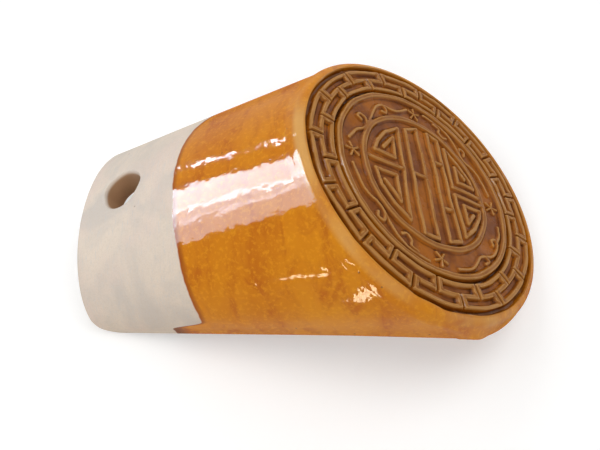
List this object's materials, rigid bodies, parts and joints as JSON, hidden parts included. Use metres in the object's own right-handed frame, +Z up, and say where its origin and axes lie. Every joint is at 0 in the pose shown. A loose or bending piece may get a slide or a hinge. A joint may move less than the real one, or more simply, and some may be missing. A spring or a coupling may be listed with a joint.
{
  "type": "ridge tile",
  "caption": "Glazed half-barrel ridge tile, wider at the head, whose obliquely cut head is closed by a round relief plate; nail hole in the bare tail.",
  "frame": {"origin": "on the floor, under the middle of the bounding box of the tile as it lies unheld, open side down", "axes": "+X along the tile towards the closed head, +Z up, Y across the tile, which is symmetric about Y = 0 but for the relief on its face"},
  "size_m": [0.3857, 0.25, 0.1475],
  "materials": {
    "glazed_clay": "glossy amber glaze over fired clay, the tail end bare and matt"
  },
  "bodies": {
    "root": {"ridge_tile": "glazed_clay"}
  },
  "joints": []
}
